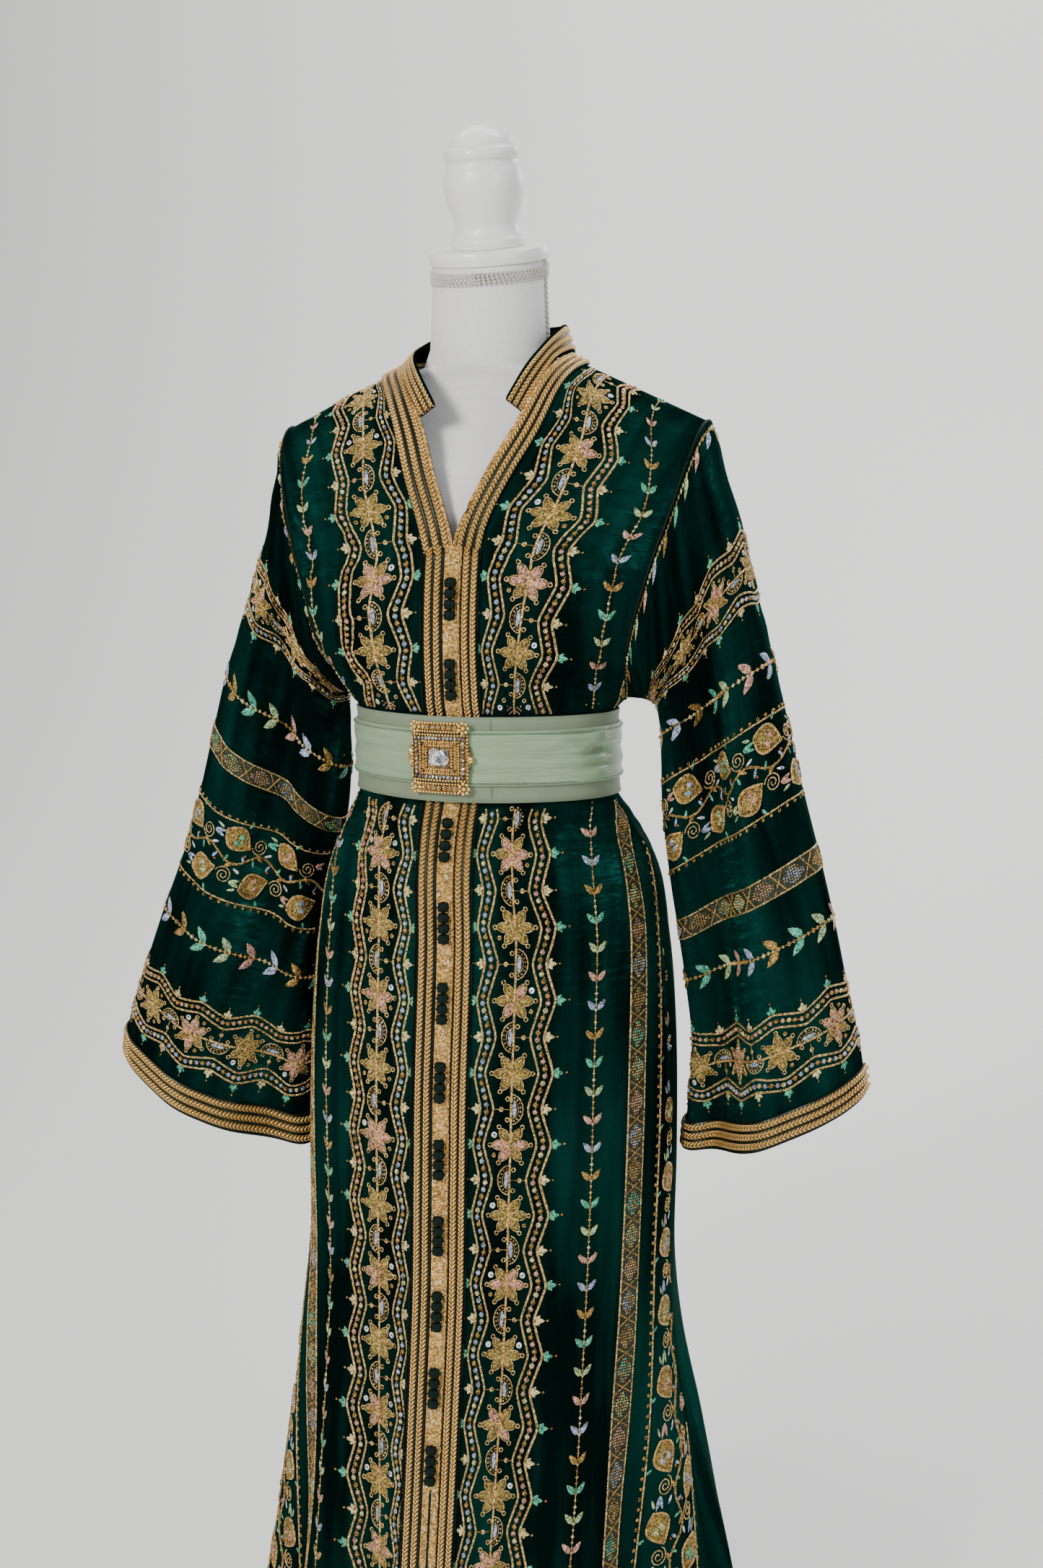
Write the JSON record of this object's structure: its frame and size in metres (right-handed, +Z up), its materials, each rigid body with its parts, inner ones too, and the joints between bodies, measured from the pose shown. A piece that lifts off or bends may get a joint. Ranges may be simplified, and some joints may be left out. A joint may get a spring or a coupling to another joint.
{
  "type": "kaftan on a limbless dress form",
  "caption": "Full-length satin kaftan with V neck, standing collar, wide sleeves, braided button placket and buckled belt, worn on a limbless dress form with a round stand.",
  "frame": {"origin": "centre of the stand base's flat underside", "axes": "+Z up along the stand's pole, the garment's front faces -Y, and the wearer's left is +X"},
  "size_m": [0.7727, 0.4709, 1.6669],
  "materials": {
    "satin": "dark green satin",
    "gold_cord": "metallic gold thread braid",
    "knot_silk": "matt silk cord",
    "lining": "grey-green lining cloth",
    "belt_band": "matt grey-green band",
    "belt_satin": "soft sage satin",
    "buckle_gold": "polished gold plate",
    "crystal": "clear cut stone",
    "form_linen": "white linen over a hard shell",
    "painted_wood": "white paint",
    "stand_metal": "white powder coat"
  },
  "bodies": {
    "root": {"back": "satin", "front_left": "satin", "front_right": "satin", "sleeve_left": "satin", "sleeve_right": "satin", "sleeve_left_hem_braid": "gold_cord", "sleeve_right_hem_braid": "gold_cord", "sleeve_left_lining": "lining", "sleeve_right_lining": "lining", "neckline_braid": "gold_cord", "collar": "gold_cord", "placket_braid_left": "gold_cord", "placket_braid_right": "gold_cord", "button_band": "gold_cord", "buttons_01": "knot_silk", "buttons_02": "knot_silk", "buttons_04": "knot_silk", "buttons_05": "knot_silk", "buttons_06": "knot_silk", "buttons_07": "knot_silk", "buttons_08": "knot_silk", "buttons_09": "knot_silk", "buttons_10": "knot_silk", "buttons_11": "knot_silk", "buttons_12": "knot_silk", "belt_band": "belt_band", "belt_gathered_strip": "belt_satin", "buckle": "buckle_gold", "buckle_stone": "crystal", "form_torso": "form_linen", "neck_plate": "painted_wood", "finial": "painted_wood", "stand_pole": "stand_metal", "stand_base": "stand_metal"}
  },
  "joints": []
}
